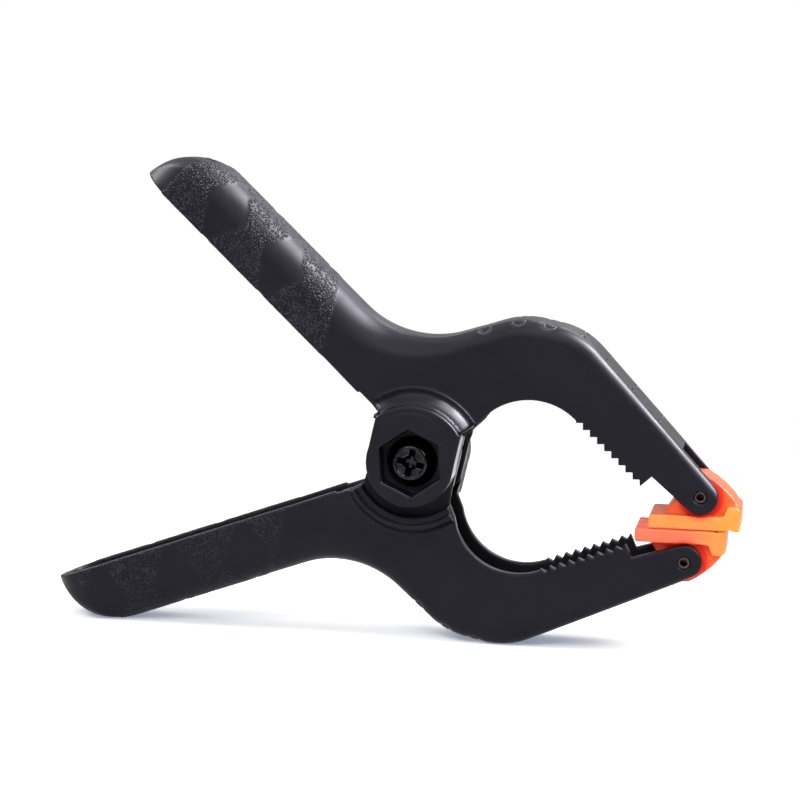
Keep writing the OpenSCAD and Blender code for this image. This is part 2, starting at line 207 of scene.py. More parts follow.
# rings and dimples on the jaw's back: X, half length along the jaw, half width across
RINGS = [(5.6, 0.95, 0.95), (10.4, 0.95, 0.95), (15.2, 0.95, 0.95)]
DIMPLES = [(20.4, 0.6, 0.8), (25.0, 0.5, 0.6), (29.8, 0.45, 0.5), (34.8, 0.42, 0.45)]
RING_Y, DIMPLE_Y, DIMPLE_DEEP = 4.5, 3.3, 0.35


def on_back(x):
    """Point of the jaw's back over x, and the direction along the back there."""
    line = SPINE
    i = next(i for i in range(len(line) - 1) if line[i][0] <= x <= line[i + 1][0])
    (x0, z0), (x1, z1) = line[i], line[i + 1]
    d = np.array([x1 - x0, z1 - z0])
    return np.array([x, z0 + (x - x0) * d[1] / d[0]]), d / np.linalg.norm(d)


def from_mark(x, y, z, mark, mark_y):
    """Distance from a mark's middle along the jaw's back, 1 on its outline."""
    (px, pz), (dx, dz) = on_back(mark[0])
    return np.hypot(((x - px) * dx + (z - pz) * dz) / mark[1], (np.abs(y) - mark_y) / mark[2])


def arm_shell(x, y, z):
    """The jaw's back, the arm's outer form and its channel."""
    u, v = -x * CA + z * SA, x * SA + z * CA
    back, straight, low = (outline_sd(x, z, line) for line in (BACK, STRAIGHT, LOWER))
    side = np.hypot(np.maximum(u - HANDLE_L + HALF_W, 0), y) - HALF_W
    flat = np.abs(y) - HALF_W
    edge = 5.0 - 2.4 * ramp(x, -16, 6) - 1.2 * ramp(x, 8, 38)
    dome = 3.5 * np.clip((v - RIM_V) / HANDLE_D, 0, 1) * ramp(u, 44, 52)
    solid = both(np.maximum(both(straight, flat, edge), both(back, side, dome)), low, 0.2)
    channel = np.maximum(both(straight + SPINE_T, flat + WALL_T, np.maximum(edge - WALL_T, 0.4)),
                         both(back + SPINE_T, side + WALL_T, dome * 0.5))
    return back, low, solid, channel


def arm_field(x, y, z):
    u, v = -x * CA + z * SA, x * SA + z * CA
    rho = np.hypot(x, z)
    back, low, solid, channel = arm_shell(x, y, z)
    f = both(solid, -channel, 0.18)
    # ribs, keel and ejector boss in the channel
    for rib_u in RIBS_U:
        rib = np.maximum(np.abs(u - rib_u) - RIB_HALF, RIB_TOP_V - v)
        f = either(f, np.maximum(rib, solid + 0.4), 0.25)
    keel = np.maximum(np.maximum(np.abs(y) - RIB_HALF, -KEEL_DEPTH - back),
                      np.maximum(back + 1, np.maximum(KEEL_X0 - x, x - KEEL_X1)))
    f = either(f, keel, 0.25)
    boss = np.maximum(np.hypot(x - BOSS_X, y) - BOSS_R, BOSS_Z - z)
    f = either(f, np.maximum(boss, solid + 0.4), 0.25)
    # stepped collar round the other arm's drum
    outer = ((rho - COLLAR_R) - (COLLAR_Y - y) * COLLAR_FLARE) / 1.085
    steps = np.minimum(y - STEP_Y, both(COLLAR_IN_R - rho, y - COLLAR_Y, 0.45))
    wedge = np.abs(x) * 0.54 - z * 0.84
    collar = np.maximum(both(outer, steps, 0.5), np.maximum(wedge, low + 0.1))
    f = either(f, np.maximum(collar, 5 - y), 0.5)
    # room for the other arm's drum and plate, and this arm's own plate
    f = both(f, -np.maximum(np.maximum(rho - ROOM_R, -SEAT_Y - y), y), 0.1)
    f = both(f, -np.maximum(rho - PLATE_ROOM_R, PLATE_Y - y), 0.15)
    plate = both(np.maximum(rho - PLATE_R, np.abs(x) - DRUM_R),
                 np.abs(y - PLATE_Y + PLATE_HALF_T) - PLATE_HALF_T, 0.12)
    f = np.minimum(f, plate)
    # drum with its shoulder
    root = np.maximum(np.maximum(np.abs(x) - DRUM_R + 0.05, rho - ROOT_R), -z)
    shield = np.minimum(rho - DRUM_R, root)
    face = -DRUM_Y - y + RIM_DEEP * np.exp(-((shield + RIM_IN) / RIM_WIDTH) ** 2)
    drum = np.maximum(both(shield, face, 0.42), y + SEAT_Y)
    bulge = SHOULDER_BULGE * np.sin(math.pi * np.clip((-y - HALF_W) / 3.2, -0.3, 1))
    cone = (rho - SHOULDER_R - (y + HALF_W) * SHOULDER_LEAN - bulge) * 0.78
    ends = np.abs(x) * 0.682 - z * 0.731
    shoulder = both(both(cone, -y - SHOULDER_TOP_Y, 0.7), ends, 0.4)
    f = np.minimum(either(f, np.maximum(shoulder, y + SEAT_Y), 0.3), drum)
    nub_x, nub_y, nub_z = (np.abs(c - at) - half
                           for c, at, half in zip((x, y, z), NUB_AT, NUB_HALF))
    f = np.minimum(f, both(np.maximum(nub_x, nub_z), nub_y, 0.15))
    # pivot bore and nut pocket
    f = both(f, BORE_R - rho, 0.12)
    f = both(f, -np.maximum(hexagon(x, z, POCKET_HALF), y + POCKET_Y), 0.5)
    # fork: a slot in the back, and below the pin the channel runs out between the ears
    f = both(f, -np.maximum(np.maximum(FORK_X - x, np.abs(y) - SLOT_HALF), PIN_Z - z), 0.15)
    f = both(f, -np.maximum(np.maximum(FORK_X - x, np.abs(y) - HALF_W + WALL_T),
                            z - PIN_Z - 0.3), 0.15)
    f = both(f, PIN_R - np.hypot(x - PIN_X, z - PIN_Z), 0.12)
    # hanging hole and dimples
    hx, hz = x - HANG_P[0], z - HANG_P[1]
    along = hx * math.sin(HANG_A) + hz * math.cos(HANG_A)
    hole = np.hypot(hx * math.cos(HANG_A) - hz * math.sin(HANG_A), y) - HANG_R
    f = both(f, -np.maximum(hole, np.abs(along) - 4), 0.3)
    for mark in DIMPLES:
        rim = (from_mark(x, y, z, mark, DIMPLE_Y) - 1) * mark[1]
        f = both(f, -np.maximum(rim, -DIMPLE_DEEP - back), 0.05)
    return f


# --- meshing ---

def contour(field, lo, hi, h):
    """Dual contouring on a grid of pitch h from lo to hi: one vertex for each cell the surface
    crosses, placed by the surface's tangent planes there, so that edges stay crisp. Gives vertices
    and quads."""
    axes = [np.arange(a, b + h, h) for a, b in zip(lo, hi)]
    dims = np.array([len(a) for a in axes])
    grid = field(axes[0][:, None, None], axes[1][None, :, None], axes[2][None, None, :])
    grid = np.broadcast_to(grid, dims)
    inside = grid < 0
    cells = dims - 1
    starts, ends, v0s, v1s, rings = [], [], [], [], []
    for k in range(3):
        a = [slice(None)] * 3
        b = [slice(None)] * 3
        a[k], b[k] = slice(0, -1), slice(1, None)
        idx = np.argwhere(inside[tuple(a)] != inside[tuple(b)])
        m, n = (k + 1) % 3, (k + 2) % 3
        idx = idx[(idx[:, m] > 0) & (idx[:, n] > 0)
                  & (idx[:, m] < cells[m]) & (idx[:, n] < cells[n])]
        nxt = idx.copy()
        nxt[:, k] += 1
        v0, v1 = grid[tuple(idx.T)], grid[tuple(nxt.T)]
        ring = []
        for dm, dn in ((-1, -1), (0, -1), (0, 0), (-1, 0)):
            c = idx.copy()
            c[:, m] += dm
            c[:, n] += dn
            ring.append(np.ravel_multi_index(c.T, cells))
        ring = np.stack(ring, axis=1)
        ring[v0 > 0] = ring[v0 > 0][:, ::-1]
        starts.append(np.stack([axes[i][idx[:, i]] for i in range(3)], axis=1))
        ends.append(np.stack([axes[i][nxt[:, i]] for i in range(3)], axis=1))
        v0s.append(v0)
        v1s.append(v1)
        rings.append(ring)
    p0, p1 = np.concatenate(starts), np.concatenate(ends)
    f0, f1, rings = np.concatenate(v0s), np.concatenate(v1s), np.concatenate(rings)
    for _ in range(2):                  # false position, keeping the sign change between the ends
        t = np.clip(f0 / (f0 - f1), 0.02, 0.98)[:, None]
        p = p0 + (p1 - p0) * t
        fp = field(*p.T)
        low = (fp < 0) == (f0 < 0)
        p0, f0 = np.where(low[:, None], p, p0), np.where(low, fp, f0)
        p1, f1 = np.where(low[:, None], p1, p), np.where(low, f1, fp)
    p = p0 + (p1 - p0) * (f0 / (f0 - f1 + 1e-12 * np.sign(f0 - f1)))[:, None]
    e = h * 0.04
    normal = np.stack([field(*(p + e * d).T) - field(*(p - e * d).T) for d in np.eye(3)], axis=1)
    normal /= np.linalg.norm(normal, axis=1)[:, None] + 1e-12
    used, slot = np.unique(rings, return_inverse=True)
    slot = slot.reshape(rings.shape)
    flat, count = slot.ravel(), len(used)

    def gather(values):
        return np.bincount(flat, np.repeat(values, 4), count)

    n_edges = gather(np.ones(len(p)))
    mean = np.stack([gather(p[:, i]) for i in range(3)], axis=1) / n_edges[:, None]
    ata = np.empty((count, 3, 3))
    for i in range(3):
        for j in range(i, 3):
            ata[:, i, j] = ata[:, j, i] = gather(normal[:, i] * normal[:, j])
    level = (normal * p).sum(1)
    atb = np.stack([gather(normal[:, i] * level) for i in range(3)], axis=1)
    rhs = atb - np.einsum("nij,nj->ni", ata, mean)
    pull = 0.04 * n_edges[:, None, None] * np.eye(3)          # towards the mean crossing
    step = np.linalg.solve(ata + pull, rhs[..., None])[..., 0]
    corner = np.stack([axes[i][c] for i, c in enumerate(np.unravel_index(used, cells))], axis=1)
    return np.clip(mean + step, corner, corner + h), slot


def piece(name, points, faces, material, body, node, attributes=None):
    """A mesh in the row frame from clamp-frame points, which rides on a body and stands for a CAD
    node."""
    mesh = bpy.data.meshes.new(name)
    faces = np.asarray(faces)
    mesh.vertices.add(len(points))
    mesh.vertices.foreach_set("co", stand(points).astype(np.float32).ravel())
    mesh.loops.add(faces.size)
    mesh.loops.foreach_set("vertex_index", faces.ravel().astype(np.int32))
    mesh.polygons.add(len(faces))
    starts = np.arange(0, faces.size, faces.shape[1], dtype=np.int32)
    mesh.polygons.foreach_set("loop_start", starts)
    mesh.update(calc_edges=True)
    mesh.validate()
    mesh.shade_smooth()
    for key, values in (attributes or {}).items():
        data = mesh.attributes.new(key, "FLOAT", "POINT").data
        data.foreach_set("value", values.astype(np.float32))
    mesh.materials.append(material)
    obj = bpy.data.objects.new(name, mesh)
    bpy.context.scene.collection.objects.link(obj)
    if body:
        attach(obj, body)
    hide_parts(node)
    return obj


# --- materials ---

def shader(name, **values):
    """A principled material with constants set on its own sockets. Gives material and shader."""
    mat = bpy.data.materials.new(name)
    mat.use_nodes = True
    bsdf = mat.node_tree.nodes["Principled BSDF"]
    for key, value in values.items():
        bsdf.inputs[key.replace("_", " ")].default_value = value
    return mat, bsdf


class Tree:
    """Short ways to add and link the nodes of one material or world."""

    def __init__(self, mat):
        self.tree = mat.node_tree
        self.coord = self.node("ShaderNodeTexCoord").outputs["Object"]

    def node(self, kind, inputs=None, **settings):
        n = self.tree.nodes.new(kind)
        for key, value in settings.items():
            setattr(n, key, value)
        for key, value in (inputs or {}).items():
            if isinstance(value, bpy.types.NodeSocket):
                self.tree.links.new(value, n.inputs[key])
            else:
                n.inputs[key].default_value = value
        return n

    def noise(self, per_m, detail, rough=0.5):
        inputs = {"Vector": self.coord, "Scale": per_m, "Detail": detail, "Roughness": rough}
        return self.node("ShaderNodeTexNoise", inputs).outputs["Fac"]

    def math(self, op, a, b, c=None):
        inputs = {0: a, 1: b} if c is None else {0: a, 1: b, 2: c}
        return self.node("ShaderNodeMath", inputs, operation=op).outputs[0]

    def spread(self, value, lo, hi, to_lo, to_hi):
        return self.node("ShaderNodeMapRange", {"Value": value, "From Min": lo, "From Max": hi,
                                                "To Min": to_lo, "To Max": to_hi}).outputs["Result"]

    def mix(self, fac, a, b):
        n = self.node("ShaderNodeMix", data_type="RGBA")
        for key, value in ((0, fac), (6, a), (7, b)):
            if isinstance(value, bpy.types.NodeSocket):
                self.tree.links.new(value, n.inputs[key])
            else:
                n.inputs[key].default_value = value
        return n.outputs[2]

    def attribute(self, name):
        return self.node("ShaderNodeAttribute", attribute_name=name).outputs["Fac"]

    def bump(self, height, distance, strength, normal=None):
        inputs = {"Height": height, "Distance": distance, "Strength": strength}
        if normal:
            inputs["Normal"] = normal
        return self.node("ShaderNodeBump", inputs).outputs["Normal"]

    def link(self, value, socket):
        self.tree.links.new(value, socket)


def nylon():
    """Black moulded nylon: satin on the flats, glossier on the rounded backs, leather grain on the
    handles."""
    mat, bsdf = shader("black_nylon", IOR=1.5, Specular_IOR_Level=0.12)
    t = Tree(mat)
    grain, gloss = t.attribute("grain"), t.attribute("gloss")
    cells = t.node("ShaderNodeTexVoronoi", {"Vector": t.coord, "Scale": 2600.0}).outputs["Distance"]
    uneven = t.math("ADD", cells, t.noise(700, 2))
    speck = t.math("MULTIPLY", t.spread(uneven, 1.06, 0.70, 0, 1), grain)
    body = t.mix(t.spread(t.noise(90, 3), 0.3, 0.7, 0, 1),
                 (0.0050, 0.0046, 0.0084, 1), (0.0080, 0.0075, 0.0128, 1))
    body = t.mix(speck, body, (0.019, 0.0178, 0.027, 1))
    # painted highlight: a lighter base colour along the outlines of the rings on the jaw's back,
    # standing in for light catching their rims
    off = t.math("ABSOLUTE", t.math("SUBTRACT", t.attribute("ring"), 1.0), 0.0)
    line = t.spread(off, 0.06, 0.26, 1, 0)
    t.link(t.mix(line, body, (0.05, 0.048, 0.06, 1)), bsdf.inputs["Base Color"])
    fine, soft = t.noise(4200, 2, 0.6), t.noise(260, 2)
    rough = t.math("ADD", t.spread(soft, 0.3, 0.7, 0.43, 0.51), t.math("MULTIPLY", gloss, -0.14))
    t.link(rough, bsdf.inputs["Roughness"])
    n = t.bump(speck, 0.00016, 0.8)
    n = t.bump(line, 0.00012, 0.8, n)
    n = t.bump(fine, 0.00002, 0.5, n)
    t.link(t.bump(soft, 0.00008, 0.25, n), bsdf.inputs["Normal"])
    return mat


def soft_plastic():
    """Orange pad: yellower towards the nose and, as painted light, yellower all over on the upper
    pad; painted shade gives a deeper red round the ear recesses and, more lightly, over all but the
    face and the plate's sides.
    """
    mat, bsdf = shader("orange_soft_plastic", IOR=1.48, Specular_IOR_Level=0.12,
                       Subsurface_Weight=0.35, Subsurface_Scale=0.001, Roughness=0.38)
    bsdf.inputs["Subsurface Radius"].default_value = (2.0, 0.55, 0.25)
    t = Tree(mat)
    body = t.mix(t.spread(t.noise(220, 2), 0.35, 0.65, 0, 1),
                 (1.0, 0.165, 0.085, 1), (1.0, 0.195, 0.10, 1))
    # yellower towards the nose, and over the whole upper pad as painted light
    warm = t.mix(t.attribute("bead"), body, (1.0, 0.37, 0.055, 1))
    # painted shade: a deeper red where the crevice shade attribute is high
    t.link(t.mix(t.attribute("painted_crevice_shade"), warm, (0.93, 0.045, 0.022, 1)), bsdf.inputs["Base Color"])
    t.link(t.spread(t.noise(500, 2), 0.3, 0.7, 0.32, 0.45), bsdf.inputs["Roughness"])
    t.link(t.bump(t.noise(900, 3), 0.00003, 0.4), bsdf.inputs["Normal"])
    return mat


def metal(name, light, dark, rough, per_m):
    """Steel with blotches of the second colour and an uneven sheen."""
    mat, bsdf = shader(name, Metallic=1.0)
    t = Tree(mat)
    blotch = t.spread(t.noise(per_m, 4, 0.6), 0.35, 0.68, 0, 1)
    t.link(t.mix(blotch, light, dark), bsdf.inputs["Base Color"])
    sheen = t.spread(t.noise(per_m * 2.2, 3), 0.3, 0.7, rough - 0.07, rough + 0.09)
    t.link(sheen, bsdf.inputs["Roughness"])
    t.link(t.bump(t.noise(3800, 2), 0.000015, 0.5), bsdf.inputs["Normal"])
    return mat


NYLON, ORANGE = nylon(), soft_plastic()
BLACKENED = metal("black_oxide_steel", (0.026, 0.025, 0.028, 1), (0.012, 0.012, 0.014, 1),
                  0.19, 700)
PIN_STEEL = metal("dull_pin_steel", (0.11, 0.065, 0.055, 1), (0.04, 0.032, 0.034, 1), 0.36, 900)
SPRING_STEEL = metal("spring_wire", (0.60, 0.61, 0.63, 1), (0.40, 0.40, 0.42, 1), 0.26, 800)

# --- arms ---

UPPER_BODY, LOWER_BODY = "upper_arm_assembly", "lower_arm_assembly"
CELL = 0.32
arm_points, arm_quads = contour(arm_field, (-54.5, -12.2, -7.6), (47.6, 9.4, 37.4), CELL)


GRAIN_U0, GRAIN_U1 = 21, 56.2                    # the grained stretch of the handle
EDGE_V, EDGE_Y, EDGE_R = 4.55, 1.25, 5           # where the side turns into the back
# smooth lozenges: place along the handle, and whether on the front side
LOZENGES = ((47.2, True), (35.3, True), (53.4, False), (41.3, False), (29.4, False))
LOZENGE_V, LOZENGE_HALF_U, LOZENGE_HALF_V = 5.8, 3.8, 6.6


def grain_mask(p):
    """1 where the handle's outside is grained: all but its end, its root and the smooth lozenges,
    which lie by turns on the two sides. Also 1 on all the handle's outside."""
    x, y, z = p.T
    u, v = -x * CA + z * SA, x * SA + z * CA - RIM_V
    side = np.hypot(np.maximum(u - HANDLE_L + HALF_W, 0), y) - HALF_W
    outer = np.maximum(outline_sd(x, z, BACK), side) > -1.5
    angle = np.arctan2(np.maximum(v - EDGE_V, 0), np.maximum(np.abs(y) - EDGE_Y, 1e-6))
    around = np.where(v < EDGE_V, v, EDGE_V + EDGE_R * angle + np.maximum(EDGE_Y - np.abs(y), 0))
    mask = (np.clip((GRAIN_U1 - u) / 0.3, 0, 1)
            * np.clip((u - GRAIN_U0 - 0.6 * around) / 0.4, 0, 1))
    for centre_u, front in LOZENGES:
        a = (np.abs(u - centre_u - 0.12 * (around - 5.6)) / LOZENGE_HALF_U
             + np.abs(around - LOZENGE_V) / LOZENGE_HALF_V)
        mask *= np.where((y < 0) == front, np.clip((a - 1) * 9, 0, 1), 1)
    return mask * outer, outer * ramp(u, 14, 22)


grain, on_handle = grain_mask(arm_points)
rng = np.random.default_rng(7)
x, y, z = arm_points.T
PROBE = 0.02
out = np.stack([arm_field(*(arm_points + PROBE * d).T) - arm_field(*(arm_points - PROBE * d).T)
                for d in np.eye(3)], axis=1)
out /= np.linalg.norm(out, axis=1)[:, None] + 1e-9
back, _, solid, _ = arm_shell(x, y, z)
outside = np.maximum(ramp(solid, -0.5, -0.3), ramp(y, -SEAT_Y, -SEAT_Y - 0.4))
dull_foot = (y < -SEAT_Y) & (z < -1) & (np.hypot(x, z) > 5.6)
gloss = outside * ramp(1 - np.abs(out[:, 1]), 0.05, 0.55) * np.where(dull_foot, 0, 1)
on_drum = ramp(y, -HALF_W, -HALF_W - 0.6)
gloss *= (1 + 1.1 * on_drum) * (1 - 0.8 * on_handle)      # the drum and its shoulder shine most
ring = np.min([from_mark(x, y, z, mark, RING_Y) for mark in RINGS], axis=0)
ring = np.where(back > -1.6, np.minimum(ring, 3), 3)
# the rings and the lozenges lie lower, and the grain is rough
RING_DEEP, LOZENGE_DEEP, GRAIN_ROUGH = 0.12, 0.10, 0.035
lift = (-RING_DEEP * ramp(np.abs(ring - 1), 0.4, 0.1) - LOZENGE_DEEP * on_handle * (1 - grain)
        + GRAIN_ROUGH * grain * rng.uniform(-1, 0.3, len(grain)))
arm_points = arm_points + out * lift[:, None]
surface = {"grain": grain, "gloss": gloss, "ring": ring}

piece("upper_arm_moulding", arm_points, arm_quads, NYLON, UPPER_BODY, "upper_arm",
      surface)
# duller flats on the lower arm's drum
surface["gloss"] = gloss * (1 - 1.3 * on_drum * ramp(np.abs(out[:, 0]), 0.8, 0.95))
piece("lower_arm_moulding", turned_over(arm_points), arm_quads, NYLON, LOWER_BODY, "lower_arm",
      surface)

# --- pads, drawn as the upper one with its pin at the origin ---

HEEL_X, PAD_NOSE, PAD_FACE, PAD_BACK = -7.6, 6.12, -5.0, -2.9
LUG_HALF, PAD_HALF, LUG_R, EAR_SEAT_R = 4.1, 6.2, 3.2, 2.95
NOSE_GROOVE_X, NOSE_GROOVE_R = 4.7, 0.26                         # groove across, before the nose
GROOVE_Y, GROOVE_HALF, GROOVE_DEEP, GROOVE_X1 = 2.05, 0.42, 0.28, 4.0      # grooves along the face
PAD_LEAN = math.radians(11.5)
PLATE = (rounded((0, PAD_FACE), (HEEL_X, PAD_FACE), (HEEL_X, PAD_BACK), 0.35, 5)[::-1]
         + rounded((0, PAD_FACE), (PAD_NOSE, PAD_FACE), (PAD_NOSE, 0), 0.3, 4)
         + rounded((PAD_NOSE, PAD_FACE), (PAD_NOSE, -1.35), (HEEL_X, -1.35), 0.7, 8)
         + arc((PAD_NOSE - 1.5, -2.1), 0.75, 90, 135, 4) + [(3.6, -2.72), (3.0, PAD_BACK)]
         + rounded((0, PAD_BACK), (HEEL_X, PAD_BACK), (HEEL_X, PAD_FACE), 0.5, 5))
LUG = ([(-5.2, PAD_BACK - 1), (-5.2, -2.6)] + arc((0, 0), LUG_R, 170, 72, 24)
       + [(2.2, 2.3), (3.3, 1.45), (4.1, 0.75), (4.9, -0.1), (5.6, -1.0), (PAD_NOSE - 0.05, -1.9),
          (PAD_NOSE - 0.05, PAD_BACK - 1)])


def pad_field(x, y, z):
    rho = np.hypot(x, z)
    plate = both(outline_sd(x, z, PLATE), np.abs(y) - PAD_HALF, 0.45)
    lug = both(outline_sd(x, z, LUG), np.abs(y) - LUG_HALF, 0.5)
    f = either(plate, lug, 0.4)
    f = both(f, -np.maximum(rho - EAR_SEAT_R, LUG_HALF - np.abs(y)), 0.2)
    f = both(f, NOSE_GROOVE_R - np.hypot(x - NOSE_GROOVE_X, z - PAD_FACE + 0.05), 0.12)
    lines = np.abs(np.abs(np.abs(y) - GROOVE_Y) - GROOVE_Y) - GROOVE_HALF      # three of them
    f = both(f, -np.maximum(np.maximum(lines, z - PAD_FACE - GROOVE_DEEP), x - GROOVE_X1), 0.1)
    return both(f, PIN_R + 0.05 - rho, 0.12)


pad_points, pad_quads = contour(pad_field, (-9.7, -6.7, -5.6), (6.9, 6.7, 4.6),
                                0.17)
px, py, pz = pad_points.T
# painted shade for the pad's crevices: full round the ear recesses, 0.6 of it everywhere but on the
# face and the plate's sides
painted_crevice_shade = (ramp(np.hypot(px, pz), 3.9, 2.8) * ramp(np.abs(py), 3.6, 4.2)
        + 0.6 * ramp(pz, -4.95, -4.75) * ramp(np.abs(py), 5.9, 5.6))
# yellower towards the nose; the upper pad's painted light is added to it below
bead = ramp(px, -0.5, 5.0)


def turned(points, angle):
    c, s = math.cos(angle), math.sin(angle)
    px, py, pz = points.T
    return np.stack([px * c + pz * s, py, -px * s + pz * c], axis=1)


ON_PIN = [PIN_X, 0, PIN_Z]
# the upper pad is painted yellower all over (0.55) as painted light, for the pad the light falls on
# more; the lower pad keeps the plain colour
pads = (("upper_jaw_pad_moulding", turned(pad_points, -PAD_LEAN) + ON_PIN,
         "upper_jaw_pad", "upper_pad", 0.55),
        ("lower_jaw_pad_moulding", turned_over(turned(pad_points, PAD_LEAN) + ON_PIN),
         "lower_jaw_pad", "lower_pad", 0.0))
for name, points, body, node, painted_light_warmth in pads:
    tint = {"painted_crevice_shade": np.clip(painted_crevice_shade, 0, 1), "bead": painted_light_warmth + (1 - painted_light_warmth) * bead * 0.6}
    piece(name, points, pad_quads, ORANGE, body, node, tint)


# --- pins, nut and screw ---

PIN_HALF_L, HOLLOW_R, HOLLOW_Y = 6.0, 0.55, 3.0            # hollow from HOLLOW_Y to the ends


def pin_field(x, y, z):
    rho = np.hypot(x, z)
    f = both(rho - PIN_R + 0.01, np.abs(y) - PIN_HALF_L, 0.22)
    return both(f, -np.maximum(rho - HOLLOW_R, HOLLOW_Y - np.abs(y)), 0.1)


pin_points, pin_quads = contour(pin_field, (-1.3, -6.3, -1.3), (1.3, 6.3, 1.3), 0.1)
pin_points = pin_points + ON_PIN
piece("upper_pad_pin_rod", pin_points, pin_quads, PIN_STEEL, UPPER_BODY, "upper_pad_pin")
piece("lower_pad_pin_rod", turned_over(pin_points), pin_quads, PIN_STEEL, LOWER_BODY,
      "lower_pad_pin")

NUT_HALF, NUT_HALF_T, NUT_BORE_R = 4.0, 1.6, 2.52


def nut_field(x, y, z):
    rho = np.hypot(x, z)
    past = np.abs(y - (POCKET_Y + NUT_HALF_T)) - NUT_HALF_T          # past the nut's two faces
    f = both(hexagon(x, -z, NUT_HALF), past, 0.08)
    f = both(f, (rho - 4.05) * 0.5 + past * 0.866, 0.06)             # corners turned off
    return np.maximum(f, np.minimum(NUT_BORE_R - rho, (2.95 - rho) * 0.7 - past * 0.7))


nut_points, nut_quads = contour(nut_field, (-4.9, 7.8, -4.9), (4.9, 11.5, 4.9), 0.14)
piece("pivot_nut_hex", nut_points, nut_quads, BLACKENED, LOWER_BODY, "pivot_nut")

HEAD_Y, HEAD_R, HEAD_H, TIP_Y = 8.1, 3.9, 2.6, 11.35                 # as in the CAD source
SHANK_R, THREAD_PITCH, THREAD_HALF_DEEP = 2.49, 0.8, 0.17
TOP_R, DISH_R, DISH_DEEP = 2.5, 2.1, 0.2                             # the head's top and its dish
RECESS_DEEP, CROSS_HALF_L, CROSS_HALF_W, CORE_R = 1.9, 2.15, 0.48, 1.25


def screw_field(x, y, z):
    rho, up = np.hypot(x, z), -y - HEAD_Y
    turn = np.arctan2(z, x) / (2 * math.pi)
    thread = (THREAD_HALF_DEEP * (1 - np.cos(2 * math.pi * (y / THREAD_PITCH - turn)))
              * ramp(y, 3.5, 4.5))
    shank = both(rho - SHANK_R + thread, y - TIP_Y, 0.45)
    shank = np.maximum(shank, -y - HEAD_Y - 0.5)
    # the head leans in from its foot, is chamfered, and its top is dished
    side = np.maximum((rho - HEAD_R + 0.45 * up) * 0.912, up - HEAD_H)
    head = both(side, (rho - TOP_R + up - HEAD_H) * 0.7071, 0.1)
    head = both(head, -np.maximum(rho - DISH_R, HEAD_H - DISH_DEEP - up), 0.06)
    head = np.maximum(head, -up)
    # cross recess, narrower with its depth below the crown
    depth = HEAD_H - up
    long_side = np.maximum(np.abs(x), np.abs(z))
    short_side = np.minimum(np.abs(x), np.abs(z))
    cross = np.maximum(short_side - CROSS_HALF_W + 0.1 * depth,
                       long_side - CROSS_HALF_L + 0.7 * depth)
    core = rho - CORE_R + 0.45 * depth
    recess = np.maximum(np.minimum(cross, core), depth - RECESS_DEEP)
    return np.minimum(shank, both(head, -recess, 0.08))


screw_points, screw_quads = contour(screw_field, (-4.2, -11.0, -4.2), (4.2, 11.7, 4.2), 0.12)
piece("pivot_screw_pan_head", screw_points, screw_quads, BLACKENED, LOWER_BODY, "pivot_screw")

# --- torsion spring: one round wire from leg tip to leg tip ---

WIRE_R, COIL_R, COIL_Y, LEG_L, SIDES = 0.85, 4.35, 2.8, 15.5, 20
COIL_STEPS, CHAMFER = 192, 0.12
LEG_A = 180 - HANDLE_A - 14                  # the legs lean 14 degrees into the handles
coil = []
for i, a in enumerate(np.linspace(90 - LEG_A - 720, LEG_A - 90, COIL_STEPS + 1)):
    cx, cz = polar((0, 0), COIL_R, a)
    coil.append((cx, COIL_Y * (1 - 2 * i / COIL_STEPS), cz))


def leg(end, deg):
    c, s = math.cos(math.radians(deg)), math.sin(math.radians(deg))
    return [(end[0] + LEG_L * k * c, end[1], end[2] + LEG_L * k * s)
            for k in np.linspace(0.04, 1, 16)]


wire = np.array(leg(coil[0], -LEG_A)[::-1] + coil + leg(coil[-1], LEG_A))
tangent = np.gradient(wire, axis=0)
tangent /= np.linalg.norm(tangent, axis=1)[:, None]
# the two ends are cut square with a small chamfer
radius = np.full(len(wire), WIRE_R)
wire = np.concatenate([wire[:1], wire[:1] + tangent[:1] * CHAMFER, wire[1:-1],
                       wire[-1:] - tangent[-1:] * CHAMFER, wire[-1:]])
radius = np.concatenate([[WIRE_R - CHAMFER], radius, [WIRE_R - CHAMFER]])
tangent = np.concatenate([tangent[:1], tangent, tangent[-1:]])
side_dir = ACROSS - tangent * (tangent @ ACROSS)[:, None]
side_dir /= np.linalg.norm(side_dir, axis=1)[:, None]
third = np.cross(tangent, side_dir)
ring_a = np.linspace(0, 2 * math.pi, SIDES, endpoint=False)
tube = (wire[:, None] + radius[:, None, None] * (side_dir[:, None] * np.cos(ring_a)[None, :, None]
                                                + third[:, None] * np.sin(ring_a)[None, :, None]))
rings = len(wire)
tube = np.concatenate([tube.reshape(-1, 3), wire[:1], wire[-1:]])
i, k = np.meshgrid(np.arange(rings - 1), np.arange(SIDES), indexing="ij")
a, b = (i * SIDES + k).ravel(), (i * SIDES + (k + 1) % SIDES).ravel()
skin = np.stack([a, b, b + SIDES, a + SIDES], axis=1)
k = np.arange(SIDES)
last = (rings - 1) * SIDES
caps = [np.stack([np.full(SIDES, rings * SIDES), (k + 1) % SIDES, k], axis=1),
        np.stack([np.full(SIDES, rings * SIDES + 1), last + k, last + (k + 1) % SIDES], axis=1)]
tris = np.concatenate([skin[:, [0, 1, 2]], skin[:, [0, 2, 3]]] + caps)
spring = piece("torsion_spring_wire", tube, tris, SPRING_STEEL, None, "torsion_spring")
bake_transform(spring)

# --- floor, backdrop, light and camera ---

